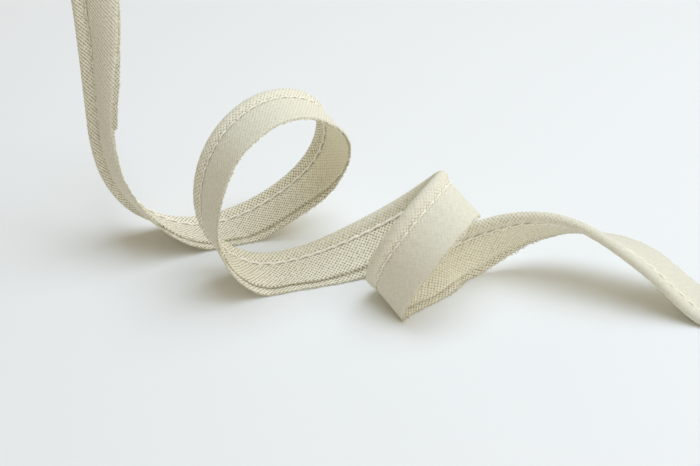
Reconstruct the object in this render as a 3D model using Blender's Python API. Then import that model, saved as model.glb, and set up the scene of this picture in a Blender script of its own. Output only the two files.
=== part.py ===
"""A length of insertion piping: a bias-cut cotton strip folded round a filler cord and stitched,
lying in two loose curls and an arch, with one end standing up and the other flat on the table.

Units are millimetres in the tables and metres in the model. +X runs along the length, +Z is up.
"""

from typing import NamedTuple

import bmesh
import bpy
import numpy as np

MM = 0.001

# The folded strip, across its width. Distances run from the fold over the cord to the raw edges.
STRIP_WIDTH = 12.0
SHORT_LAYER_WIDTH = 10.2
SEAM_FROM_FOLD = 3.3

# The bead over the cord, and the cloth pulled together at the seam beside it
BEAD_WIDTH = 2.7
BEAD_THICK = 2.2
SEAM_THICK = 1.0

# The two layers of the flange, and the slot that parts them from just past the seam outwards.
# GAPE_AT_MIDDLE is the share of an edge's gape that shows half way out, and RESTING_HEM is the
# width of the long layer that can lie flat on the table.
LAYER_THICK = 0.5
LAYER_GAP = 0.3
SLOT_FROM_FOLD = 4.2
SLOT_TAPER = 0.6
GAPE_AT_MIDDLE = 0.3
RESTING_HEM = 1.6

# How finely the strip is modelled
SECTION_SPACING = 2.6
BEAD_STEPS = 9
ROUTE_STEPS = 2000
SHARP_ANGLE = 40.0

# Middle of the finished outline on the table, in the route's own axes
CENTRE_X = 13.37
CENTRE_Y = -10.46


class Stop(NamedTuple):
    """One place along the strip.

    x, y, z: the fold over the cord, in millimetres above the table.
    bearing: which way the flange points in plan, degrees from +X towards +Y.
    rise: how far the flange tips up from level, degrees.
    gape: how far the short layer's raw edge stands off the long layer, millimetres.
    """

    place: str
    x: float
    y: float
    z: float
    bearing: float
    rise: float
    gape: float


ROUTE = [
    Stop("standing end", -58.5, 17.0, 52.0, -23, 10, 0.3),
    Stop("standing, upper", -57.0, 11.8, 37.5, -36, 17, 0.3),
    Stop("standing, middle", -55.8, 7.0, 26.5, -48, 22, 0.5),
    Stop("standing, lower", -53.8, 2.5, 16.0, -56, 24, 0.5),
    Stop("foot of the standing end", -48.0, 1.0, 6.5, -61, 23, 0.3),
    Stop("first touch", -38.0, 3.3, 1.4, -70, 6, 0.3),
    Stop("leaving the table", -27.0, 6.8, 1.6, -72, -9, 0.4),
    Stop("first curl, far side low", -16.8, 9.5, 6.2, -70, -10, 0.5),
    Stop("first curl, far side", -9.0, 10.4, 14.8, -62, -15, 0.5),
    Stop("first curl, far side high", -6.9, 7.8, 25.5, -54, -16, 0.5),
    Stop("first curl, crown", -11.3, 1.6, 34.0, -52, -11, 0.4),
    Stop("first curl, over the crown", -19.7, -5.6, 36.6, -51, -1, 0.3),
    Stop("first curl, near side high", -27.6, -12.1, 31.6, -56, 6, 0.3),
    Stop("first curl, near side", -31.1, -15.4, 21.3, -62, 4, 0.3),
    Stop("first curl, near side low", -28.8, -15.0, 10.2, -70, 0, 0.4),
    Stop("first curl, bottom", -20.4, -12.1, 2.9, -75, -10, 0.8),
    Stop("second touch", -9.3, -9.0, 3.1, -73, -16, 0.9),
    Stop("second curl, far side low", 1.4, -6.8, 7.6, -63, -32, 0.6),
    Stop("second curl, far side", 11.0, -5.4, 13.2, -51, -39, 0.5),
    Stop("second curl, crown", 17.4, -8.6, 20.6, -41, -41, 0.4),
    Stop("second curl, over the crown", 16.4, -17.6, 25.0, -31, -31, 0.3),
    Stop("second curl, near side", 10.2, -25.0, 21.4, -33, -24, 0.3),
    Stop("second curl, near side low", 4.5, -26.2, 12.1, -44, -21, 0.3),
    Stop("second curl, bottom", 4.9, -21.2, 3.3, -56, -16, 0.4),
    Stop("third touch", 12.0, -16.6, 5.5, -43, -28, 0.4),
    Stop("arch, foot", 17.2, -14.9, 8.9, -31, -45, 0.4),
    Stop("arch, climbing", 22.5, -14.7, 11.4, -11, -60, 0.4),
    Stop("arch, top", 33.0, -16.5, 15.6, 49, -62, 0.4),
    Stop("arch, turning over", 43.8, -20.3, 16.6, 69, -45, 0.4),
    Stop("arch, coming down", 53.4, -25.8, 13.0, 71, -20, 0.3),
    Stop("arch, near the table", 62.2, -30.2, 6.9, 71, -6, 0.3),
    Stop("last touch", 71.0, -34.5, 0.9, 69, -5, 0.3),
    Stop("lying end", 81.0, -38.5, 0.7, 68, -3, 0.3),
]


def clear_scene():
    for obj in list(bpy.data.objects):
        bpy.data.objects.remove(obj)


def spline_through(knots, values, places):
    """The smoothest cubic curve through the values at the knots, read at the places."""
    steps = np.diff(knots)
    slopes = np.diff(values, axis=0) / steps[:, None]
    last = len(knots) - 1
    system = np.eye(last + 1)
    load = np.zeros_like(values)
    for i in range(1, last):
        system[i, i - 1 : i + 2] = steps[i - 1], 2 * (steps[i - 1] + steps[i]), steps[i]
        load[i] = 6 * (slopes[i] - slopes[i - 1])
    bend = np.linalg.solve(system, load)
    i = np.clip(np.searchsorted(knots, places) - 1, 0, last - 1)
    step = steps[i][:, None]
    on = ((places - knots[i]) / steps[i])[:, None]
    back = 1 - on
    straight = back * values[i] + on * values[i + 1]
    curve = (back**3 - back) * bend[i] + (on**3 - on) * bend[i + 1]
    return straight + curve * step**2 / 6


def unit(vectors):
    return vectors / np.linalg.norm(vectors, axis=1)[:, None]


def distances_along(points):
    return np.concatenate([[0.0], np.cumsum(np.linalg.norm(np.diff(points, axis=0), axis=1))])


def stations():
    """Evenly spaced places on the route: the fold's points, the flange and face directions, the gapes."""
    folds = np.array([(stop.x, stop.y, stop.z) for stop in ROUTE])
    bearing = np.radians([stop.bearing for stop in ROUTE])
    rise = np.radians([stop.rise for stop in ROUTE])
    flanges = np.stack([np.cos(bearing) * np.cos(rise), np.sin(bearing) * np.cos(rise), np.sin(rise)], 1)
    gapes = np.array([[stop.gape] for stop in ROUTE])
    knots = distances_along(folds)
    fine = np.linspace(0.0, knots[-1], ROUTE_STEPS)
    travelled = distances_along(spline_through(knots, folds, fine))
    count = round(travelled[-1] / SECTION_SPACING) + 1
    places = np.interp(np.linspace(0.0, travelled[-1], count), travelled, fine)
    points = spline_through(knots, folds, places)
    along = unit(np.gradient(points, axis=0))
    across = spline_through(knots, flanges, places)
    across = unit(across - (across * along).sum(1)[:, None] * along)
    outward = np.cross(along, across)
    opened = np.maximum(spline_through(knots, gapes, places)[:, 0], LAYER_GAP)
    return points, across, outward, opened


def section(gape):
    """The closed outline across the strip, as distances from the fold and heights off its middle.

    It runs round the cord's bead from the outer face to the inner one, out along the short layer,
    back into the slot between the layers, and out and back along the long layer.
    """
    bead_turn = np.radians(np.linspace(60.0, 300.0, BEAD_STEPS))
    bead = np.stack([BEAD_WIDTH / 2 * (1 + np.cos(bead_turn)), BEAD_THICK / 2 * np.sin(bead_turn)], 1)
    flange_middle = (SLOT_FROM_FOLD + SHORT_LAYER_WIDTH) / 2
    inner = LAYER_GAP / 2
    outer = inner + LAYER_THICK
    lift = gape - LAYER_GAP
    middle_lift = GAPE_AT_MIDDLE * lift
    short_layer = [
        (SEAM_FROM_FOLD, -SEAM_THICK / 2),
        (SLOT_FROM_FOLD + SLOT_TAPER, -outer),
        (flange_middle, -outer - middle_lift),
        (SHORT_LAYER_WIDTH, -outer - lift),
        (SHORT_LAYER_WIDTH, -inner - lift),
        (flange_middle, -inner - middle_lift),
        (SLOT_FROM_FOLD + SLOT_TAPER, -inner),
    ]
    long_layer = [
        (SLOT_FROM_FOLD, 0.0),
        (SLOT_FROM_FOLD + SLOT_TAPER, inner),
        (flange_middle, inner),
        (SHORT_LAYER_WIDTH, inner),
        (STRIP_WIDTH, inner),
        (STRIP_WIDTH, outer),
        (STRIP_WIDTH - RESTING_HEM, outer),
        (flange_middle, outer),
        (SLOT_FROM_FOLD + SLOT_TAPER, outer),
        (SEAM_FROM_FOLD, SEAM_THICK / 2),
    ]
    return np.concatenate([bead, short_layer, long_layer])


def cotton_material():
    material = bpy.data.materials.new("natural_cotton")
    material.use_nodes = True
    shader = material.node_tree.nodes["Principled BSDF"]
    shader.inputs["Base Color"].default_value = (0.72, 0.67, 0.50, 1.0)
    shader.inputs["Roughness"].default_value = 0.9
    shader.inputs["Metallic"].default_value = 0.0
    return material


def folded_strip(collection):
    """The whole strip as one closed solid, lofted from section to section along the route.

    Where it lies on the table its underside is pressed flat, and each point keeps the cloth below it.
    """
    points, across, outward, gapes = stations()
    flange_half = LAYER_GAP / 2 + LAYER_THICK
    mesh = bmesh.new()
    rings = []
    for point, flange, face, gape in zip(points, across, outward, gapes):
        outline = section(gape)
        places = point + outline[:, :1] * flange + outline[:, 1:] * face
        below = outline[:, 1] * face[2] + flange_half * abs(face[2])
        places[:, 2] = np.maximum(places[:, 2], np.maximum(below, 0.0))
        places -= (CENTRE_X, CENTRE_Y, 0.0)
        rings.append([mesh.verts.new(place * MM) for place in places])
    for ring, following in zip(rings, rings[1:]):
        for i in range(len(ring)):
            j = (i + 1) % len(ring)
            mesh.faces.new([ring[i], ring[j], following[j], following[i]])
    mesh.faces.new(rings[0][::-1])
    mesh.faces.new(rings[-1])
    bmesh.ops.recalc_face_normals(mesh, faces=mesh.faces)
    data = bpy.data.meshes.new("folded_strip")
    mesh.to_mesh(data)
    mesh.free()
    data.shade_smooth()
    data.set_sharp_from_angle(angle=np.radians(SHARP_ANGLE))
    data.materials.append(cotton_material())
    strip = bpy.data.objects.new("folded_strip", data)
    collection.objects.link(strip)


clear_scene()
piping = bpy.data.collections.new("piping_trim")
bpy.context.scene.collection.children.link(piping)
folded_strip(piping)
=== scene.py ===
"""The looks of a length of insertion piping, laid in loose curls: cloth, cord, stitching, raw edges."""

from typing import NamedTuple

import bpy
import numpy as np
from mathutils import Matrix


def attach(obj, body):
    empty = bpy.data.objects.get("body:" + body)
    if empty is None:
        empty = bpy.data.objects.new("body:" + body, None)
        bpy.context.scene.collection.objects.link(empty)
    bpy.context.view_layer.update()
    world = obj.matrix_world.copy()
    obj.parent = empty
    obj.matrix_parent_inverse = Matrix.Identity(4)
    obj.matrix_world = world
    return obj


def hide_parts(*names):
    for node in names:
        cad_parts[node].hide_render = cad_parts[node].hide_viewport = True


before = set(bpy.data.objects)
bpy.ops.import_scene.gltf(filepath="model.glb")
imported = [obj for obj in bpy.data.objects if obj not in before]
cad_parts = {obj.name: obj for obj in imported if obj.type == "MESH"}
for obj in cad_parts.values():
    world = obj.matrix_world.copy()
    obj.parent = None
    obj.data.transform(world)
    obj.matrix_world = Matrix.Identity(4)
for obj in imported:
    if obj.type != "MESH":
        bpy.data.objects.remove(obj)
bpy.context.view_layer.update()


# THE RUN OF THE STRIP
# One length of piping about 357 mm long. It stands up at the left, touches the table, makes two curls
# and an arch, and lies flat at the right. Every piece below follows this run, as the solid does.

# CENTRE is the middle of the finished outline on the table, on the run's own axes.
MM = 0.001
CENTRE = np.array([13.37, -10.46, 0.0])
RUN_STEPS = 4000


class Stop(NamedTuple):
    """One place along the strip, in millimetres and degrees.

    x, y, z: the fold over the cord. bearing, rise: where the flange points, in plan and up from level.
    gape: how far the short layer's raw edge stands off the long layer.
    """

    place: str
    x: float
    y: float
    z: float
    bearing: float
    rise: float
    gape: float


RUN = [
    Stop("standing end", -58.5, 17.0, 52.0, -23, 10, 0.3),
    Stop("standing, upper", -57.0, 11.8, 37.5, -36, 17, 0.3),
    Stop("standing, middle", -55.8, 7.0, 26.5, -48, 22, 0.5),
    Stop("standing, lower", -53.8, 2.5, 16.0, -56, 24, 0.5),
    Stop("foot of the standing end", -48.0, 1.0, 6.5, -61, 23, 0.3),
    Stop("first touch", -38.0, 3.3, 1.4, -70, 6, 0.3),
    Stop("leaving the table", -27.0, 6.8, 1.6, -72, -9, 0.4),
    Stop("first curl, far side low", -16.8, 9.5, 6.2, -70, -10, 0.5),
    Stop("first curl, far side", -9.0, 10.4, 14.8, -62, -15, 0.5),
    Stop("first curl, far side high", -6.9, 7.8, 25.5, -54, -16, 0.5),
    Stop("first curl, crown", -11.3, 1.6, 34.0, -52, -11, 0.4),
    Stop("first curl, over the crown", -19.7, -5.6, 36.6, -51, -1, 0.3),
    Stop("first curl, near side high", -27.6, -12.1, 31.6, -56, 6, 0.3),
    Stop("first curl, near side", -31.1, -15.4, 21.3, -62, 4, 0.3),
    Stop("first curl, near side low", -28.8, -15.0, 10.2, -70, 0, 0.4),
    Stop("first curl, bottom", -20.4, -12.1, 2.9, -75, -10, 0.8),
    Stop("second touch", -9.3, -9.0, 3.1, -73, -16, 0.9),
    Stop("second curl, far side low", 1.4, -6.8, 7.6, -63, -32, 0.6),
    Stop("second curl, far side", 11.0, -5.4, 13.2, -51, -39, 0.5),
    Stop("second curl, crown", 17.4, -8.6, 20.6, -41, -41, 0.4),
    Stop("second curl, over the crown", 16.4, -17.6, 25.0, -31, -31, 0.3),
    Stop("second curl, near side", 10.2, -25.0, 21.4, -33, -24, 0.3),
    Stop("second curl, near side low", 4.5, -26.2, 12.1, -44, -21, 0.3),
    Stop("second curl, bottom", 4.9, -21.2, 3.3, -56, -16, 0.4),
    Stop("third touch", 12.0, -16.6, 5.5, -43, -28, 0.4),
    Stop("arch, foot", 17.2, -14.9, 8.9, -31, -45, 0.4),
    Stop("arch, climbing", 22.5, -14.7, 11.4, -11, -60, 0.4),
    Stop("arch, top", 33.0, -16.5, 15.6, 49, -62, 0.4),
    Stop("arch, turning over", 43.8, -20.3, 16.6, 69, -45, 0.4),
    Stop("arch, coming down", 53.4, -25.8, 13.0, 71, -20, 0.3),
    Stop("arch, near the table", 62.2, -30.2, 6.9, 71, -6, 0.3),
    Stop("last touch", 71.0, -34.5, 0.9, 69, -5, 0.3),
    Stop("lying end", 81.0, -38.5, 0.7, 68, -3, 0.3),
]


def spline_through(knots, values, places):
    """The smoothest cubic curve through the values at the knots, read at the places."""
    steps = np.diff(knots)
    slopes = np.diff(values, axis=0) / steps[:, None]
    last = len(knots) - 1
    system = np.eye(last + 1)
    load = np.zeros_like(values)
    for i in range(1, last):
        system[i, i - 1 : i + 2] = steps[i - 1], 2 * (steps[i - 1] + steps[i]), steps[i]
        load[i] = 6 * (slopes[i] - slopes[i - 1])
    bend = np.linalg.solve(system, load)
    i = np.clip(np.searchsorted(knots, places) - 1, 0, last - 1)
    step = steps[i][:, None]
    on = ((places - knots[i]) / steps[i])[:, None]
    back = 1 - on
    straight = back * values[i] + on * values[i + 1]
    return straight + ((back**3 - back) * bend[i] + (on**3 - on) * bend[i + 1]) * step**2 / 6


def unit(vectors):
    return vectors / np.linalg.norm(vectors, axis=1)[:, None]


def distances_along(points):
    return np.concatenate([[0.0], np.cumsum(np.linalg.norm(np.diff(points, axis=0), axis=1))])


def run_at(spacing):
    """Evenly spaced places on the run: distance, fold, flange direction, face direction and gape."""
    folds = np.array([(stop.x, stop.y, stop.z) for stop in RUN])
    bearing = np.radians([stop.bearing for stop in RUN])
    rise = np.radians([stop.rise for stop in RUN])
    level = np.cos(rise)
    flanges = np.stack([np.cos(bearing) * level, np.sin(bearing) * level, np.sin(rise)], 1)
    gapes = np.array([[stop.gape] for stop in RUN])
    knots = distances_along(folds)
    fine = np.linspace(0.0, knots[-1], RUN_STEPS)
    travelled = distances_along(spline_through(knots, folds, fine))
    along = np.linspace(0.0, travelled[-1], round(travelled[-1] / spacing) + 1)
    places = np.interp(along, travelled, fine)
    fold = spline_through(knots, folds, places)
    heading = unit(np.gradient(fold, axis=0))
    flange = spline_through(knots, flanges, places)
    flange = unit(flange - (flange * heading).sum(1)[:, None] * heading)
    face = np.cross(heading, flange)
    return along, fold, flange, face, spline_through(knots, gapes, places)[:, 0]


# THE FOLDED CLOTH
# Undyed cotton in plain weave, cut on the bias and folded lengthwise over the cord. The layer on the
# outer face is the longer one. The row of stitching pinches both layers together beside the cord.

# Across the strip, from the fold. The flat width is both layers and the turn over the cord.
BEAD_WIDTH = 2.7
BEAD_THICK = 2.2
SEAM_FROM_FOLD = 3.3
LONG_LAYER = 12.0
SHORT_LAYER = 10.2

# The cloth's thickness, and the gap between its two layers
CLOTH_THICK = 0.42
SEAM_THICK = 0.3
EDGE_THICK = 0.2
LAYER_GAP = 0.06
STACK_HALF = CLOTH_THICK + LAYER_GAP / 2

# Beside the seam the layers swell by PUFF, and their raw edges lie closer by EDGE_DROOP each. The
# solid's gape is that of thicker layers, so only GAPE_SHARE of what passes GAPE_UNSEEN shows here.
PUFF = 0.05
PUFF_FROM_FOLD = 4.5
EDGE_DROOP = CLOTH_THICK / 5
GAPE_UNSEEN = 0.55
GAPE_SHARE = 0.7

# The weave and the stitches. Cut on the bias, a raw edge has a tooth for each thread.
THREAD_PITCH = 0.6
STITCH_PITCH = 2.7
EDGE_TOOTH = THREAD_PITCH * 2**0.5
TOOTH_DEPTH = 0.13
RING_SPACING = EDGE_TOOTH / 2

# SEAM_AT is the seam's place in the cloth's line, counted from either raw edge.
BEAD_STEPS = 13
SEAM_AT = 12

# Where the finish of the flange and of the bead fades in, measured along the cloth from the fold
FLANGE_FROM = 3.0
FLANGE_FADE = 2.0
BEAD_END = 3.6
BEAD_FADE = 0.4


def smooth_noise(along, wave, seed):
    """Soft unevenness from -1 to 1 along the strip, with bumps about wave millimetres long."""
    chance = np.random.RandomState(seed)
    total = np.zeros_like(along)
    sizes = (1.0, 0.6, 0.37)
    for size in sizes:
        total += size * np.sin(2 * np.pi * along / (wave * size * 2) + chance.uniform(0, 6.3))
    return total / sum(sizes)


def layer_ends(along):
    """How far the raw edges of the long and the short layer reach from the fold, place by place.

    On the standing end the short layer reaches past the long one, up to where it was cut back. Both
    edges waver by a little over a tenth of a millimetre.
    """
    knots = [0, 14, 22, 31.5, 38, 46, 56, 212, 222, 240, 250, 312, 322, 334, 342]
    ends = [12.1, 11.9, 11.5, 11.4, 12.4, 12.6, 12.0, 12.0, 11.8, 11.8, 12.0, 12.0, 11.4, 11.4, 12.0]
    long_end = np.interp(along, knots, ends)
    knots = [0, 14, 22, 31.3, 31.8, 92, 101, 122, 132]
    ends = [11.8, 12.2, 12.6, 12.6, SHORT_LAYER, SHORT_LAYER, 11.85, 11.85, SHORT_LAYER]
    short_end = np.interp(along, knots, ends)
    long_end += 0.12 * smooth_noise(along, 7, 1)
    short_end += 0.14 * smooth_noise(along, 6, 2)
    return long_end, short_end


def tucks(along):
    """How far the seam sinks towards the inner face. On the standing end the flange bends back."""
    return np.interp(along, [0, 8, 16, 30, 48, 60, 66], [0.3, 0.7, 1.1, 1.3, 1.3, 0.5, 0.0])


def cloth_line(long_end, short_end, gape, beat, sway, bow, tuck):
    """The cloth's middle line across the strip, from the long raw edge over the cord to the short one.

    Gives distances from the fold, heights off the middle and the cloth's half thickness. beat runs from
    -1 at a needle hole to 1 half way between two. sway is how far the raw edges lean to the outer face,
    bow how far the middle of the flange swells to it, and tuck how far the seam sinks from it.
    """
    reach = np.array([1.0, 0.985, 0.93, 0.84, 0.74, 0.63, 0.51, 0.39, 0.27, 0.17, 0.09])
    long_s = SEAM_FROM_FOLD + (long_end - SEAM_FROM_FOLD) * reach
    short_s = SEAM_FROM_FOLD + (short_end - SEAM_FROM_FOLD) * reach[::-1]
    rest = (CLOTH_THICK + LAYER_GAP) / 2
    puff = PUFF + PUFF * beat
    swell = sway * reach**2 + bow * 4 * reach * (1 - reach)
    long_h = rest + puff * np.exp(-((long_s - PUFF_FROM_FOLD) ** 2)) + swell
    lift = GAPE_SHARE * max(gape - GAPE_UNSEEN, 0.0)
    share = reach[::-1]
    short_h = -rest - puff * np.exp(-((short_s - PUFF_FROM_FOLD) ** 2)) - lift * share**1.6 + swell[::-1]
    turn = np.radians(np.linspace(50, 310, BEAD_STEPS))
    wide = (BEAD_WIDTH - CLOTH_THICK) / 2
    high = (BEAD_THICK - CLOTH_THICK) / 2 * (1 + 0.03 * beat)
    bead_s = BEAD_WIDTH / 2 + wide * np.cos(turn)
    bead_h = high * np.sin(turn)
    seam = SEAM_THICK / 2 + 0.006 + 0.01 * (1 + beat)
    neck_s = np.array([3.75, SEAM_FROM_FOLD, 2.95, 2.55])
    neck_h = np.array([rest, seam, seam + 0.08, 0.42 + 0.02 * beat])
    s = np.concatenate([long_s, neck_s, bead_s, neck_s[::-1], short_s])
    h = np.concatenate([long_h, neck_h, bead_h, -neck_h[::-1], short_h])
    sunk = np.interp(s, [0, SEAM_FROM_FOLD, SHORT_LAYER, LONG_LAYER], [0, 1, 0.05, 0])
    half = np.full(len(s), CLOTH_THICK / 2)
    half[[SEAM_AT, -1 - SEAM_AT]] = SEAM_THICK / 2
    half[[0, -1]] = EDGE_THICK / 2
    return s, h - tuck * sunk, half


def pressed(places, heights, face_z):
    """Keeps the points above the table: the underside lies flat and the rest stays stacked on it."""
    stacked = heights * face_z + STACK_HALF * abs(face_z)
    places[:, 2] = np.maximum(places[:, 2], np.maximum(stacked, 0.0))
    return places


def mesh_object(name, points, faces, uv=None):
    """An object at the origin with its place in its mesh. Points are in the run's millimetres."""
    mesh = bpy.data.meshes.new(name)
    mesh.from_pydata(((points - CENTRE) * MM).tolist(), [], faces)
    mesh.shade_smooth()
    if uv is not None:
        layer = mesh.uv_layers.new(name="cloth")
        corners = np.zeros(len(mesh.loops), dtype=np.int32)
        mesh.loops.foreach_get("vertex_index", corners)
        layer.uv.foreach_set("vector", uv[corners].astype(np.float32).ravel())
    made = bpy.data.objects.new(name, mesh)
    bpy.context.scene.collection.objects.link(made)
    return made


def rings_to_faces(rings, size):
    """Quads joining each ring of points to the next, right round."""
    start = np.arange(rings - 1)[:, None] * size
    here = np.arange(size)[None, :]
    after = (here + 1) % size
    quads = np.stack([start + here, start + after, start + size + after, start + size + here], -1)
    return quads.reshape(-1, 4).tolist()


along, fold, flange, face, gapes = run_at(RING_SPACING)
long_ends, short_ends = layer_ends(along)
beats = -np.cos(2 * np.pi * along / STITCH_PITCH)
sways = 0.12 * smooth_noise(along, 14, 3)
teeth = np.where(np.arange(len(along)) % 2 == 0, TOOTH_DEPTH, -TOOTH_DEPTH)
sunk = tucks(along)

# How the cloth differs from place to place: how far the flange bows out, how far one set of threads
# stands out in rows, how worn the inner face is, how dark the crease beside the outer stitches is painted
# as shade, and how smooth the outer face and the bead are pressed.
bows = np.interp(along, [0, 8, 32, 44, 58], [0.8, 0.9, 0.9, 0.6, 0.0])
ridges = np.interp(along, [0, 48, 66], [1.0, 1.0, 0.0])
worn = np.interp(along, [84, 96, 106, 118, 126, 262, 280, 308, 314],
                 [0.0, 0.5, 0.8, 0.8, 0.0, 0.0, 0.45, 0.45, 0.0])
outer_painted_seam_shade = np.interp(along, [60, 110, 200, 225, 300, 318], [0.8, 0.5, 0.5, 0.2, 0.2, 0.0])
smoothness = np.interp(along, [0, 20, 40, 60, 110, 125, 175, 190, 225, 262, 268, 300, 320],
                       [0.2, 0.3, 0.6, 0.4, 0.35, 0.5, 0.5, 0.5, 0.8, 0.8, 0.4, 0.4, 0.95])
bead_smoothness = np.interp(along, [0, 50, 110, 122, 150, 175, 225, 262, 275, 300, 330],
                            [0.0, 0.0, 0.0, 0.45, 0.35, 0.1, 0.6, 0.6, 0.15, 0.3, 0.95])

# Each ring runs out over the cloth's outer side and back along the side that lies in the fold. Its
# marks are the distance along the strip and across the cloth, with the long layer below zero.
rings, marks = [], []
shares = {"ironed": [], "flattened": [], "ridged": [], "painted_seam_shade": []}
edge_long, edge_short, seam_outer, seam_inner = [], [], [], []
for i in range(len(along)):
    s, h, half = cloth_line(long_ends[i], short_ends[i], gapes[i], beats[i], sways[i], bows[i], sunk[i])
    s[0] += teeth[i]
    s[-1] += teeth[i]
    step_s, step_h = np.gradient(s), np.gradient(h)
    size = np.hypot(step_s, step_h)
    out_s, out_h = step_h / size, -step_s / size
    h[0] -= EDGE_DROOP
    h[-1] += EDGE_DROOP
    across = np.concatenate([s + out_s * half, (s - out_s * half)[::-1]])
    heights = np.concatenate([h + out_h * half, (h - out_h * half)[::-1]])
    places = fold[i] + across[:, None] * flange[i] + heights[:, None] * face[i]
    rings.append(pressed(places, heights, face[i, 2]))
    cut = np.concatenate([[0.0], np.cumsum(np.hypot(np.diff(s), np.diff(h)))])
    cut = cut - cut[len(s) // 2]
    marks.append(np.stack([np.full(2 * len(s), along[i]), np.concatenate([cut, cut[::-1]])], 1))
    outer_flange = np.clip((-FLANGE_FROM - cut) / FLANGE_FADE, 0, 1)
    inner_flange = np.clip((cut - FLANGE_FROM) / FLANGE_FADE, 0, 1)
    bead = np.clip(1.0 - np.abs(cut) / BEAD_END, 0, BEAD_FADE) / BEAD_FADE
    ironed = outer_flange * smoothness[i] + bead * bead_smoothness[i]
    # Painted shade: the crease beside the inner stitches is darkened all along, the one beside the outer
    # stitches as far as the outer share above says.
    painted_seam_shade = np.zeros(len(s))
    painted_seam_shade[SEAM_AT - 1 : SEAM_AT + 2] = np.array([0.8, 1.0, 0.3]) * outer_painted_seam_shade[i]
    painted_seam_shade[-SEAM_AT - 2 : -SEAM_AT + 1] = 0.3, 1.0, 0.8
    for label, values in (("ironed", ironed), ("flattened", ironed + inner_flange * worn[i]),
                          ("ridged", (1 - inner_flange) * ridges[i]), ("painted_seam_shade", painted_seam_shade)):
        shares[label].append(np.concatenate([values, np.zeros(len(s))]))
    edge_long.append(places[0] * 0.5 + places[-1] * 0.5)
    edge_short.append(places[len(s) - 1] * 0.5 + places[len(s)] * 0.5)
    seam_outer.append(places[SEAM_AT])
    seam_inner.append(places[len(s) - 1 - SEAM_AT])
columns = len(rings[0])
points = np.concatenate(rings)
faces = rings_to_faces(len(rings), columns)
half_way = columns // 2
# A row of quads closes each cut end.
for first, order in ((0, 1), (len(points) - columns, -1)):
    for j in range(half_way - 1):
        cap = [first + j, first + columns - 1 - j, first + columns - 2 - j, first + j + 1]
        faces.append(cap[::order])
cloth = mesh_object("folded_cloth", points, faces, uv=np.concatenate(marks))
for label, values in shares.items():
    layer = cloth.data.attributes.new(label, "FLOAT", "POINT")
    layer.data.foreach_set("value", np.concatenate(values).astype(np.float32))


def srgb(code):
    """A colour written as six hex digits, turned to the linear values that the shaders take."""
    parts = [int(code[i : i + 2], 16) / 255 for i in (0, 2, 4)]
    return [p / 12.92 if p <= 0.04045 else ((p + 0.055) / 1.055) ** 2.4 for p in parts] + [1.0]


def add(tree, kind, inputs=None, **settings):
    """Adds a node, sets its properties, and sets or links its inputs by name or number."""
    node = tree.nodes.new(kind)
    for name, value in settings.items():
        setattr(node, name, value)
    for key, value in (inputs or {}).items():
        if isinstance(value, bpy.types.NodeSocket):
            tree.links.new(value, node.inputs[key])
        else:
            node.inputs[key].default_value = value
    return node


def new_material(name):
    material = bpy.data.materials.new(name)
    material.use_nodes = True
    material.node_tree.nodes.clear()
    return material, material.node_tree


# Quilting-weight unbleached cotton, woven: two sets of soft round threads over and under each other at
# 45 degrees to the strip, with a pin hole at each crossing's corner. It is matt. Its hollows are painted
# dark and warm as shade, and its thread tops painted lighter as highlight.
woven_cotton, tree = new_material("woven_unbleached_cotton")
marks_in = add(tree, "ShaderNodeUVMap", uv_map="cloth")
drift = add(tree, "ShaderNodeTexNoise", {"Vector": marks_in.outputs[0], "Scale": 0.35, "Detail": 2.0})
wobble = add(tree, "ShaderNodeVectorMath", {0: drift.outputs["Color"], 1: (0.5, 0.5, 0.5)},
             operation="SUBTRACT")
wobble = add(tree, "ShaderNodeVectorMath", {0: wobble.outputs[0], "Scale": 0.3}, operation="SCALE")
placed = add(tree, "ShaderNodeVectorMath", {0: marks_in.outputs[0], 1: wobble.outputs[0]},
             operation="ADD")
threads = add(tree, "ShaderNodeMapping", {"Vector": placed.outputs[0], "Rotation": (0, 0, np.pi / 4),
              "Scale": (1 / THREAD_PITCH, 1 / THREAD_PITCH, 1.0)}, vector_type="POINT")
parts = add(tree, "ShaderNodeSeparateXYZ", {0: threads.outputs[0]})
# For each of the two sets of threads: which thread this is, and how high its round top is here.
sides = []
for axis in (0, 1):
    index = add(tree, "ShaderNodeMath", {0: parts.outputs[axis]}, operation="FLOOR")
    share = add(tree, "ShaderNodeMath", {0: parts.outputs[axis], 1: index.outputs[0]},
                operation="SUBTRACT")
    centred = add(tree, "ShaderNodeMath", {0: share.outputs[0], 1: 0.5}, operation="SUBTRACT")
    squared = add(tree, "ShaderNodeMath", {0: centred.outputs[0], 1: centred.outputs[0]},
                  operation="MULTIPLY")
    round_top = add(tree, "ShaderNodeMath", {0: squared.outputs[0], 1: -4.0, 2: 1.0},
                    operation="MULTIPLY_ADD")
    sides.append((index, round_top))
(index_a, round_a), (index_b, round_b) = sides
# The sets go over and under in turn. Where the cloth is ridged the second set stays on top in rows.
count = add(tree, "ShaderNodeMath", {0: index_a.outputs[0], 1: index_b.outputs[0]}, operation="ADD")
over = add(tree, "ShaderNodeMath", {0: count.outputs[0], 1: 2.0}, operation="FLOORED_MODULO")
sign = add(tree, "ShaderNodeMath", {0: over.outputs[0], 1: 2.0, 2: -1.0}, operation="MULTIPLY_ADD")
ridged = add(tree, "ShaderNodeAttribute", attribute_name="ridged")
tops = []
for across_thread, along_thread, way, flat, ridge in (
    (round_a, round_b, 0.42, 0.54, 0.4), (round_b, round_a, -0.42, 0.58, 0.95)):
    level = add(tree, "ShaderNodeMapRange", {"Value": ridged.outputs["Fac"], "To Min": flat,
                "To Max": ridge})
    lift = add(tree, "ShaderNodeMath", {0: sign.outputs[0], 1: along_thread.outputs[0]},
               operation="MULTIPLY")
    lift = add(tree, "ShaderNodeMath", {0: lift.outputs[0], 1: way, 2: level.outputs[0]},
               operation="MULTIPLY_ADD")
    tops.append(add(tree, "ShaderNodeMath", {0: lift.outputs[0], 1: across_thread.outputs[0]},
                    operation="MULTIPLY"))
relief = add(tree, "ShaderNodeMath", {0: tops[0].outputs[0], 1: tops[1].outputs[0]},
             operation="MAXIMUM")
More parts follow.
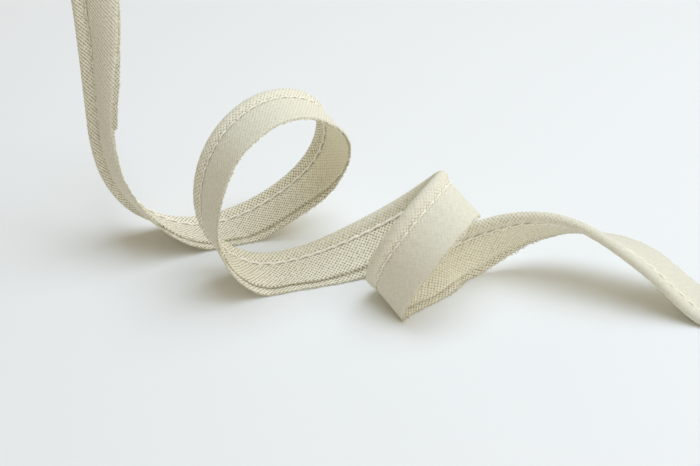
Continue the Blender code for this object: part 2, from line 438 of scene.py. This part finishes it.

# Uneven spinning closes some of the hollows. Pressing flattens them all, and where the cloth is ironed
# the painted shade and highlights of the weave give way to one flat colour too.
slub = add(tree, "ShaderNodeTexNoise", {"Vector": threads.outputs[0], "Scale": 0.9, "Detail": 3.0})
closed = add(tree, "ShaderNodeMapRange", {"Value": slub.outputs[0], "From Min": 0.3, "From Max": 0.7,
             "To Min": -0.14, "To Max": 0.08})
closed = add(tree, "ShaderNodeMath", {0: relief.outputs[0], 1: closed.outputs[0]},
             operation="ADD")
ironed = add(tree, "ShaderNodeAttribute", attribute_name="ironed")
flattened = add(tree, "ShaderNodeAttribute", attribute_name="flattened")
filled = add(tree, "ShaderNodeMix", {"Factor": flattened.outputs["Fac"], "A": closed.outputs[0],
             "B": 0.5})
# Painted shade and highlight: the weave's hollows are coloured dark and warm, the thread sides mid and
# the thread tops light.
tone = add(tree, "ShaderNodeValToRGB", {0: filled.outputs[0]})
tone.color_ramp.elements[0].position = 0.13
tone.color_ramp.elements[0].color = srgb("6E5A24")
tone.color_ramp.elements[1].position = 0.75
tone.color_ramp.elements[1].color = srgb("FDF9EA")
thread_side = tone.color_ramp.elements.new(0.44)
thread_side.color = srgb("EBE5CA")
uneven = add(tree, "ShaderNodeMapRange", {"Value": slub.outputs[0], "From Min": 0.3, "From Max": 0.7,
             "To Min": 0.93, "To Max": 1.04})
smooth = add(tree, "ShaderNodeMix", {"Factor": ironed.outputs["Fac"], "A": tone.outputs[0],
             "B": srgb("E0DDCD")}, data_type="RGBA")
# Painted shade: the colour darkens by up to 0.42 in the creases beside the stitches, and varies with the
# slub at random.
painted_seam_shade = add(tree, "ShaderNodeAttribute", attribute_name="painted_seam_shade")
dim = add(tree, "ShaderNodeMath", {0: painted_seam_shade.outputs["Fac"], 1: -0.42, 2: 1.0}, operation="MULTIPLY_ADD")
dim = add(tree, "ShaderNodeMath", {0: dim.outputs[0], 1: uneven.outputs[0]}, operation="MULTIPLY")
shade = add(tree, "ShaderNodeVectorMath", {0: smooth.outputs["Result"], "Scale": dim.outputs[0]},
            operation="SCALE")
bump = add(tree, "ShaderNodeBump", {"Strength": 0.9, "Distance": 0.14 * MM,
           "Height": filled.outputs[0]})
skin = add(tree, "ShaderNodeBsdfPrincipled", {"Base Color": shade.outputs[0], "Normal": bump.outputs[0],
           "Roughness": 0.92, "Sheen Weight": 0.1, "Sheen Roughness": 0.5, "Specular IOR Level": 0.2})
add(tree, "ShaderNodeOutputMaterial", {"Surface": skin.outputs[0]})
cloth.data.materials.append(woven_cotton)

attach(cloth, "root")
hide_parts("folded_strip")


# THE FILLER CORD
# Three soft strands of cotton twisted together, lying loose inside the fold. It shows only at the two
# cut ends, where it stops level with the cloth.

CORD_THICK = 1.5
CORD_LAY = 5.5
CORD_SIDES = 18

turn = np.linspace(0, 2 * np.pi, CORD_SIDES, endpoint=False)
cord_along, cord_fold, cord_flange, cord_face, _ = run_at(1.0)
cord_sunk = tucks(cord_along) * BEAD_WIDTH / 2 / SEAM_FROM_FOLD
cord_rings = []
for i in range(len(cord_along)):
    twist = 2 * np.pi * cord_along[i] / CORD_LAY
    radius = CORD_THICK / 2 * (0.84 + 0.16 * np.abs(np.cos(1.5 * (turn - twist))))
    heights = radius * np.sin(turn) - cord_sunk[i]
    places = cord_fold[i] + (BEAD_WIDTH / 2 + radius * np.cos(turn))[:, None] * cord_flange[i]
    places = places + heights[:, None] * cord_face[i]
    cord_rings.append(pressed(places, heights, cord_face[i, 2]))
cord_points = np.concatenate(cord_rings)
cord_faces = rings_to_faces(len(cord_rings), CORD_SIDES)
cord_faces.append(list(range(CORD_SIDES))[::-1])
cord_faces.append(list(range(len(cord_points) - CORD_SIDES, len(cord_points))))
cord = mesh_object("filler_cord", cord_points, cord_faces)

# Soft carded cotton, barely spun: fluffy, a little whiter than the cloth, in tufts of half a
# millimetre or so.
carded_cotton, tree = new_material("carded_cotton_cord")
where = add(tree, "ShaderNodeTexCoord")
fluff = add(tree, "ShaderNodeTexNoise", {"Vector": where.outputs["Object"], "Scale": 1800.0,
            "Detail": 4.0})
tone = add(tree, "ShaderNodeValToRGB", {0: fluff.outputs[0]})
tone.color_ramp.elements[0].position = 0.3
tone.color_ramp.elements[0].color = srgb("C9C2A6")
tone.color_ramp.elements[1].position = 0.6
tone.color_ramp.elements[1].color = srgb("EFECDD")
bump = add(tree, "ShaderNodeBump", {"Strength": 0.6, "Distance": 0.2 * MM, "Height": fluff.outputs[0]})
skin = add(tree, "ShaderNodeBsdfPrincipled", {"Base Color": tone.outputs[0], "Normal": bump.outputs[0],
           "Roughness": 0.95, "Sheen Weight": 0.3, "Specular IOR Level": 0.2})
add(tree, "ShaderNodeOutputMaterial", {"Surface": skin.outputs[0]})
cord.data.materials.append(carded_cotton)

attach(cord, "root")


# THE STITCHING
# One row of machine stitching beside the cord, in undyed cotton sewing thread. On the inner face the
# stitches overlap like a chain; on the outer face they are short dashes with a needle hole between.
# The row starts and ends a little inside the cut ends: SEAM_INSET rings of the cloth, about 1.7 mm.

INNER_THREAD = 0.56
OUTER_THREAD = 0.37
SEAM_INSET = 4


def line_object(name, places, **directions):
    """A bare line of points through the places, with a direction stored at each point."""
    mesh = bpy.data.meshes.new(name)
    links = [(i, i + 1) for i in range(len(places) - 1)]
    mesh.from_pydata(((np.array(places) - CENTRE) * MM).tolist(), links, [])
    for label, values in directions.items():
        layer = mesh.attributes.new(label, "FLOAT_VECTOR", "POINT")
        layer.data.foreach_set("vector", np.asarray(values, dtype=np.float32).ravel())
    made = bpy.data.objects.new(name, mesh)
    bpy.context.scene.collection.objects.link(made)
    return made


def new_tree(name, sockets):
    """A geometry tree that takes a line and the named sizes, and gives a mesh."""
    tree = bpy.data.node_groups.new(name, "GeometryNodeTree")
    tree.interface.new_socket("Geometry", in_out="INPUT", socket_type="NodeSocketGeometry")
    for label, kind in sockets:
        tree.interface.new_socket(label, in_out="INPUT", socket_type=kind)
    tree.interface.new_socket("Geometry", in_out="OUTPUT", socket_type="NodeSocketGeometry")
    return tree, tree.nodes.new("NodeGroupInput").outputs


def grown(made, tree, sizes):
    """Runs the tree on the object with those sizes and keeps the result as its mesh.

    Points that the tree puts below the table are lifted to it.
    """
    modifier = made.modifiers.new(tree.name, "NODES")
    modifier.node_group = tree
    sockets = {s.name: s.identifier for s in tree.interface.items_tree if s.in_out == "INPUT"}
    for label, value in sizes.items():
        modifier[sockets[label]] = value
    bpy.context.view_layer.update()
    ready = made.evaluated_get(bpy.context.evaluated_depsgraph_get())
    mesh = bpy.data.meshes.new_from_object(ready)
    places = np.zeros(3 * len(mesh.vertices))
    mesh.vertices.foreach_get("co", places)
    places[2::3] = np.maximum(places[2::3], 0.0)
    mesh.vertices.foreach_set("co", places)
    made.modifiers.clear()
    made.data = mesh
    return made


FLOAT, WHOLE, STUFF = "NodeSocketFloat", "NodeSocketInt", "NodeSocketMaterial"
stitch_tree, given = new_tree("row_of_stitches", [
    ("Pitch", FLOAT), ("Stitch length", FLOAT), ("Thread radius", FLOAT), ("Crown", FLOAT),
    ("Slant", FLOAT), ("Seed", WHOLE), ("Thread", STUFF)])
path = add(stitch_tree, "GeometryNodeMeshToCurve", {0: given["Geometry"]})
spots = add(stitch_tree, "GeometryNodeResampleCurve",
            {"Curve": path.outputs[0], "Length": given["Pitch"]}, mode="LENGTH")
heading = add(stitch_tree, "GeometryNodeInputTangent")
outward = add(stitch_tree, "GeometryNodeInputNamedAttribute", {"Name": "face"},
              data_type="FLOAT_VECTOR")
aimed = add(stitch_tree, "FunctionNodeAlignRotationToVector", {"Vector": heading.outputs[0]},
            axis="X")
aimed = add(stitch_tree, "FunctionNodeAlignRotationToVector",
            {"Rotation": aimed.outputs[0], "Vector": outward.outputs[0]}, axis="Z", pivot_axis="X")
chance = add(stitch_tree, "FunctionNodeRandomValue", {"Min": (0, 0, -0.05), "Max": (0, 0, 0.05),
             "Seed": given["Seed"]}, data_type="FLOAT_VECTOR")
slant = add(stitch_tree, "ShaderNodeCombineXYZ", {"Z": given["Slant"]})
slant = add(stitch_tree, "ShaderNodeVectorMath", {0: slant.outputs[0], 1: chance.outputs[0]},
            operation="ADD")
slant = add(stitch_tree, "FunctionNodeEulerToRotation", {0: slant.outputs[0]})
aimed = add(stitch_tree, "FunctionNodeRotateRotation",
            {"Rotation": aimed.outputs[0], "Rotate By": slant.outputs[0]}, rotation_space="LOCAL")
reach = add(stitch_tree, "ShaderNodeMath", {0: given["Stitch length"], 1: 0.5}, operation="MULTIPLY")
back = add(stitch_tree, "ShaderNodeMath", {0: reach.outputs[0], 1: -1.0}, operation="MULTIPLY")
sunk = add(stitch_tree, "ShaderNodeMath", {0: given["Thread radius"], 1: -0.3}, operation="MULTIPLY")
peak = add(stitch_tree, "ShaderNodeMath", {0: given["Crown"], 1: 2.0}, operation="MULTIPLY")
start = add(stitch_tree, "ShaderNodeCombineXYZ", {"X": back.outputs[0], "Z": sunk.outputs[0]})
middle = add(stitch_tree, "ShaderNodeCombineXYZ", {"Z": peak.outputs[0]})
end = add(stitch_tree, "ShaderNodeCombineXYZ", {"X": reach.outputs[0], "Z": sunk.outputs[0]})
stitch = add(stitch_tree, "GeometryNodeCurveQuadraticBezier",
             {"Resolution": 8, "Start": start.outputs[0], "Middle": middle.outputs[0],
              "End": end.outputs[0]})
round_thread = add(stitch_tree, "GeometryNodeCurvePrimitiveCircle",
                   {"Resolution": 7, "Radius": given["Thread radius"]})
stitch = add(stitch_tree, "GeometryNodeCurveToMesh", {"Curve": stitch.outputs[0],
             "Profile Curve": round_thread.outputs[0], "Fill Caps": True})
sizes = add(stitch_tree, "FunctionNodeRandomValue", {"Min": (0.93, 0.9, 0.85), "Max": (1.05, 1.1, 1.1),
            "Seed": given["Seed"]}, data_type="FLOAT_VECTOR")
row = add(stitch_tree, "GeometryNodeInstanceOnPoints", {"Points": spots.outputs[0],
          "Instance": stitch.outputs[0], "Rotation": aimed.outputs[0], "Scale": sizes.outputs[0]})
row = add(stitch_tree, "GeometryNodeRealizeInstances", {0: row.outputs[0]})
row = add(stitch_tree, "GeometryNodeSetMaterial",
          {"Geometry": row.outputs[0], "Material": given["Thread"]})
add(stitch_tree, "NodeGroupOutput", {0: row.outputs[0]})

# Undyed cotton sewing thread, plied and a little glossier than the cloth. Its plies are too fine to
# show, so they are drawn about 0.7 mm long.
sewing_thread, tree = new_material("plied_cotton_sewing_thread")
where = add(tree, "ShaderNodeTexCoord")
plies = add(tree, "ShaderNodeTexNoise", {"Vector": where.outputs["Object"], "Scale": 1500.0,
            "Detail": 2.0})
tone = add(tree, "ShaderNodeValToRGB", {0: plies.outputs[0]})
tone.color_ramp.elements[0].position = 0.3
tone.color_ramp.elements[0].color = srgb("F2EBD8")
tone.color_ramp.elements[1].position = 0.65
tone.color_ramp.elements[1].color = srgb("FFFDF4")
bump = add(tree, "ShaderNodeBump", {"Strength": 0.5, "Distance": 0.1 * MM, "Height": plies.outputs[0]})
skin = add(tree, "ShaderNodeBsdfPrincipled", {"Base Color": tone.outputs[0], "Normal": bump.outputs[0],
           "Roughness": 0.75, "Sheen Weight": 0.2, "Specular IOR Level": 0.35})
add(tree, "ShaderNodeOutputMaterial", {"Surface": skin.outputs[0]})

# Each row: its seam, the way it faces, and in millimetres its thread, its stitches' length, then
# their slant in radians and how high they arch.
kept = slice(SEAM_INSET, -SEAM_INSET)
for name, seam, way, thick, length, slant_by, crown, seed in (
    ("stitching_inner_face", seam_inner, -1, INNER_THREAD, 3.4, 0.12, 0.34, 11),
    ("stitching_outer_face", seam_outer, 1, OUTER_THREAD, 2.5, 0.05, 0.28, 12),
):
    row = line_object(name, seam[kept], face=face[kept] * way)
    grown(row, stitch_tree, {
        "Pitch": STITCH_PITCH * MM, "Stitch length": length * MM, "Thread radius": thick / 2 * MM,
        "Crown": crown * MM, "Slant": slant_by, "Seed": seed, "Thread": sewing_thread})
    row.data.shade_smooth()
    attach(row, "root")


# THE FRAYED RAW EDGES
# Both raw edges are cut on the bias, so every thread ends in them at 45 degrees. The ends have opened
# into short soft tips that point out of the cloth two ways in turn.

TIP_THICK = 0.2

fray_tree, given = new_tree("thread_tips", [
    ("Spacing", FLOAT), ("Tip length", FLOAT), ("Tip radius", FLOAT), ("Seed", WHOLE),
    ("Thread", STUFF)])
path = add(fray_tree, "GeometryNodeMeshToCurve", {0: given["Geometry"]})
spots = add(fray_tree, "GeometryNodeResampleCurve",
            {"Curve": path.outputs[0], "Length": given["Spacing"]}, mode="LENGTH")
heading = add(fray_tree, "GeometryNodeInputNamedAttribute", {"Name": "out"},
              data_type="FLOAT_VECTOR")
outward = add(fray_tree, "GeometryNodeInputNamedAttribute", {"Name": "face"},
              data_type="FLOAT_VECTOR")
aimed = add(fray_tree, "FunctionNodeAlignRotationToVector", {"Vector": heading.outputs[0]}, axis="X")
aimed = add(fray_tree, "FunctionNodeAlignRotationToVector",
            {"Rotation": aimed.outputs[0], "Vector": outward.outputs[0]}, axis="Z", pivot_axis="X")
number = add(fray_tree, "GeometryNodeInputIndex")
parity = add(fray_tree, "ShaderNodeMath", {0: number.outputs[0], 1: 2.0}, operation="FLOORED_MODULO")
# Tips lean 45 degrees one way and the other in turn, with some chance added.
side = add(fray_tree, "ShaderNodeMath", {0: parity.outputs[0], 1: np.pi / 2, 2: -np.pi / 4},
           operation="MULTIPLY_ADD")
side = add(fray_tree, "ShaderNodeCombineXYZ", {"Z": side.outputs[0]})
chance = add(fray_tree, "FunctionNodeRandomValue", {"Min": (-0.3, -0.45, -0.5), "Max": (0.3, 0.45, 0.5),
             "Seed": given["Seed"]}, data_type="FLOAT_VECTOR")
side = add(fray_tree, "ShaderNodeVectorMath", {0: side.outputs[0], 1: chance.outputs[0]},
           operation="ADD")
side = add(fray_tree, "FunctionNodeEulerToRotation", {0: side.outputs[0]})
aimed = add(fray_tree, "FunctionNodeRotateRotation",
            {"Rotation": aimed.outputs[0], "Rotate By": side.outputs[0]}, rotation_space="LOCAL")
root = add(fray_tree, "ShaderNodeMath", {0: given["Tip length"], 1: -0.4}, operation="MULTIPLY")
bow = add(fray_tree, "ShaderNodeMath", {0: given["Tip length"], 1: 0.3}, operation="MULTIPLY")
start = add(fray_tree, "ShaderNodeCombineXYZ", {"X": root.outputs[0]})
middle = add(fray_tree, "ShaderNodeCombineXYZ", {"X": bow.outputs[0], "Y": given["Tip radius"]})
end = add(fray_tree, "ShaderNodeCombineXYZ", {"X": given["Tip length"]})
tip = add(fray_tree, "GeometryNodeCurveQuadraticBezier", {"Resolution": 4, "Start": start.outputs[0],
          "Middle": middle.outputs[0], "End": end.outputs[0]})
share = add(fray_tree, "GeometryNodeSplineParameter")
thin = add(fray_tree, "ShaderNodeMapRange", {"Value": share.outputs["Factor"], "From Min": 0.3,
           "From Max": 1.0, "To Min": 1.0, "To Max": 0.3})
tip = add(fray_tree, "GeometryNodeSetCurveRadius", {"Curve": tip.outputs[0], "Radius": thin.outputs[0]})
round_thread = add(fray_tree, "GeometryNodeCurvePrimitiveCircle",
                   {"Resolution": 5, "Radius": given["Tip radius"]})
tip = add(fray_tree, "GeometryNodeCurveToMesh", {"Curve": tip.outputs[0],
          "Profile Curve": round_thread.outputs[0], "Fill Caps": True})
sizes = add(fray_tree, "FunctionNodeRandomValue", {"Min": (0.3, 0.7, 0.7), "Max": (1.15, 1.2, 1.2),
            "Seed": given["Seed"]}, data_type="FLOAT_VECTOR")
row = add(fray_tree, "GeometryNodeInstanceOnPoints", {"Points": spots.outputs[0],
          "Instance": tip.outputs[0], "Rotation": aimed.outputs[0], "Scale": sizes.outputs[0]})
row = add(fray_tree, "GeometryNodeRealizeInstances", {0: row.outputs[0]})
row = add(fray_tree, "GeometryNodeSetMaterial",
          {"Geometry": row.outputs[0], "Material": given["Thread"]})
add(fray_tree, "NodeGroupOutput", {0: row.outputs[0]})

# The cloth's own thread where it has come loose: soft, matt and the same cream as the cloth.
loose_cotton, tree = new_material("loose_cotton_thread_ends")
where = add(tree, "ShaderNodeTexCoord")
tufts = add(tree, "ShaderNodeTexNoise", {"Vector": where.outputs["Object"], "Scale": 900.0,
            "Detail": 2.0})
tone = add(tree, "ShaderNodeValToRGB", {0: tufts.outputs[0]})
tone.color_ramp.elements[0].position = 0.35
tone.color_ramp.elements[0].color = srgb("D8D2B6")
tone.color_ramp.elements[1].position = 0.65
tone.color_ramp.elements[1].color = srgb("EEEAD8")
skin = add(tree, "ShaderNodeBsdfPrincipled", {"Base Color": tone.outputs[0], "Roughness": 0.95,
           "Sheen Weight": 0.3, "Specular IOR Level": 0.2})
add(tree, "ShaderNodeOutputMaterial", {"Surface": skin.outputs[0]})

for name, edge, tip_length, seed in (
    ("fray_long_layer", edge_long, 0.5, 21),
    ("fray_short_layer", edge_short, 0.4, 22),
):
    row = line_object(name, edge, out=flange, face=face)
    grown(row, fray_tree, {"Spacing": EDGE_TOOTH / 3 * MM, "Tip length": tip_length * MM,
                           "Tip radius": TIP_THICK / 2 * MM, "Seed": seed, "Thread": loose_cotton})
    row.data.shade_smooth()
    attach(row, "root")


# THE TABLE, THE LIGHT AND THE CAMERA
# A plain white table top under one large soft light overhead, with a weaker neutral one low at the
# front right. The camera looks down at 34 degrees along +Y.

top = bpy.data.meshes.new("table_top")
top.from_pydata([(-3, -3, 0), (3, -3, 0), (3, 3, 0), (-3, 3, 0)], [], [(0, 1, 2, 3)])
table = bpy.data.objects.new("table_top", top)
bpy.context.scene.collection.objects.link(table)
# White matt laminate, lit almost to white.
white_laminate, tree = new_material("white_laminate")
skin = add(tree, "ShaderNodeBsdfPrincipled", {"Base Color": srgb("F4F6F6"), "Roughness": 0.6,
           "Specular IOR Level": 0.2})
add(tree, "ShaderNodeOutputMaterial", {"Surface": skin.outputs[0]})
top.materials.append(white_laminate)

# The room round the table is a little warm. It is bright near the horizon, most of all at the right,
# and dimmer overhead.
world = bpy.data.worlds.new("studio")
world.use_nodes = True
tree = world.node_tree
tree.nodes.clear()
direction = add(tree, "ShaderNodeTexCoord")
glow = add(tree, "ShaderNodeVectorMath", {0: direction.outputs["Generated"], 1: (0.2, 0.06, -0.9)},
           operation="DOT_PRODUCT")
glow = add(tree, "ShaderNodeMath", {0: glow.outputs["Value"], 1: 0.9}, operation="ADD")
glow = add(tree, "ShaderNodeMath", {0: glow.outputs[0], 1: 0.22}, operation="MAXIMUM")
room = add(tree, "ShaderNodeBackground", {"Color": srgb("FFF1D4"), "Strength": glow.outputs[0]})
add(tree, "ShaderNodeOutputWorld", {"Surface": room.outputs[0]})
bpy.context.scene.world = world

for name, side, energy, colour, place in (
    ("softbox", 0.54, 2.84, "E2EEFD", (0.12, 0.05, 0.54)),
    ("bounce_card", 0.5, 0.65, "F8F9FF", (0.46, -0.30, 0.24)),
):
    light_data = bpy.data.lights.new(name, "AREA")
    light_data.size = side
    light_data.energy = energy
    light_data.color = srgb(colour)[:3]
    light = bpy.data.objects.new(name, light_data)
    light.visible_camera = False
    light.location = place
    light.rotation_mode = "QUATERNION"
    light.rotation_quaternion = light.location.to_track_quat("Z", "Y")
    bpy.context.scene.collection.objects.link(light)

camera_data = bpy.data.cameras.new("camera")
camera_data.sensor_width = 36.0
camera_data.lens = 82.29
camera_data.clip_start = 0.01
camera = bpy.data.objects.new("camera", camera_data)
camera.location = (-0.01337, -0.2785, 0.1942)
camera.rotation_euler = (np.radians(90 - 33.9), 0.0, 0.0)
bpy.context.scene.collection.objects.link(camera)
bpy.context.scene.camera = camera
bpy.context.scene.view_settings.view_transform = "Standard"
